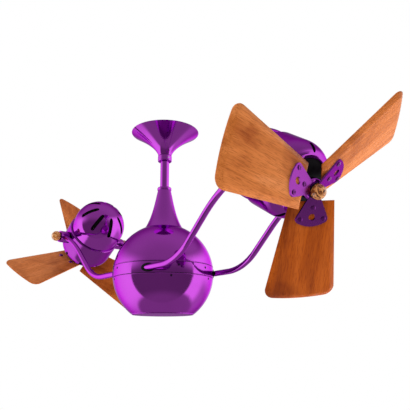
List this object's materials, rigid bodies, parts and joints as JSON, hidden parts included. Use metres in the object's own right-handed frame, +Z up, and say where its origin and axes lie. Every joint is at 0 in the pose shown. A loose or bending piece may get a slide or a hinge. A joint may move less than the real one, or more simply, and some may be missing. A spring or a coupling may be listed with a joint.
{
  "type": "ceiling fan",
  "caption": "Ceiling fan on a short rod: a round body carries two tilting motor heads on paired tubular arms, each head turning a wooden bladed rotor.",
  "frame": {"origin": "middle of the ceiling bracket's top face, on the rod's axis, in the ceiling plane", "axes": "+Z up into the ceiling, +X from the rod towards head A, -X towards head B, Y along the two heads' tilt axes"},
  "size_m": [1.16, 0.4309, 0.445],
  "materials": {
    "purple_metal": "glossy purple lacquer over polished steel",
    "holder_aluminium": "glossy purple lacquer over cast aluminium",
    "blade_wood": "varnished, grain along the blade",
    "burl_ball": "polished marbled burl",
    "black_plate": "black enamel",
    "steel": "machined steel",
    "stator_winding": "varnished laminations and copper wire",
    "dark_screw": "blackened steel",
    "rubber": "matt",
    "insulator": "moulded"
  },
  "bodies": {
    "hanger": {"ceiling_bracket": "steel", "hanger_bolt": "steel", "canopy": "purple_metal", "canopy_collar": "purple_metal", "collar_screws": "steel", "downrod": "purple_metal", "rod_sleeve": "steel", "bearing_inner": "steel", "bearing_balls": "steel", "slip_ring": "insulator"},
    "body": {"neck_cap": "purple_metal", "upper_shell": "purple_metal", "band": "purple_metal", "lower_shell": "purple_metal", "bottom_cover": "purple_metal", "arm_carrier": "steel", "bearing_outer": "steel", "brush_block": "insulator", "arm_clamps": "steel", "clamp_screws": "steel", "shell_screws": "dark_screw", "arm_grommets": "rubber", "arm_a_left": "purple_metal", "arm_a_right": "purple_metal", "arm_b_left": "purple_metal", "arm_b_right": "purple_metal", "knuckles_a": "purple_metal", "knuckles_b": "purple_metal"},
    "head_a": {"rear_shell_a": "purple_metal", "front_shell_a": "purple_metal", "front_plate_a": "black_plate", "motor_frame_a": "steel", "stator_a": "stator_winding", "trunnion_pins_a": "steel", "ball_knobs_a": "burl_ball", "motor_bearings_a": "steel"},
    "rotor_a": {"shaft_a": "steel", "rotor_core_a": "steel", "blade_holder_a": "holder_aluminium", "blade_a1": "blade_wood", "blade_a2": "blade_wood", "blade_a3": "blade_wood", "blade_screws_a": "purple_metal", "hub_ball_a": "burl_ball"},
    "head_b": {"rear_shell_b": "purple_metal", "front_shell_b": "purple_metal", "front_plate_b": "black_plate", "motor_frame_b": "steel", "stator_b": "stator_winding", "trunnion_pins_b": "steel", "ball_knobs_b": "burl_ball", "motor_bearings_b": "steel"},
    "rotor_b": {"shaft_b": "steel", "rotor_core_b": "steel", "blade_holder_b": "holder_aluminium", "blade_b1": "blade_wood", "blade_b2": "blade_wood", "blade_b3": "blade_wood", "blade_screws_b": "purple_metal", "hub_ball_b": "burl_ball"}
  },
  "joints": [
    {"name": "body_turn", "type": "hinge", "parent": "hanger", "child": "body", "pos_m": [0, 0, -0.3515], "axis": [0, 0, 1], "continuous": true},
    {"name": "head_tilt_a", "type": "hinge", "parent": "body", "child": "head_a", "pos_m": [0.376, 0, -0.2135], "axis": [0, 1, 0], "range_deg": [-18, 30]},
    {"name": "head_tilt_b", "type": "hinge", "parent": "body", "child": "head_b", "pos_m": [-0.376, 0, -0.2135], "axis": [0, -1, 0], "range_deg": [-17, 30]},
    {"name": "rotor_spin_a", "type": "hinge", "parent": "head_a", "child": "rotor_a", "pos_m": [0.37947, 0, -0.20824], "axis": [0.8348, 0, -0.5505], "continuous": true},
    {"name": "rotor_spin_b", "type": "hinge", "parent": "head_b", "child": "rotor_b", "pos_m": [-0.37936, 0, -0.20817], "axis": [-0.8462, 0, -0.5329], "continuous": true}
  ]
}
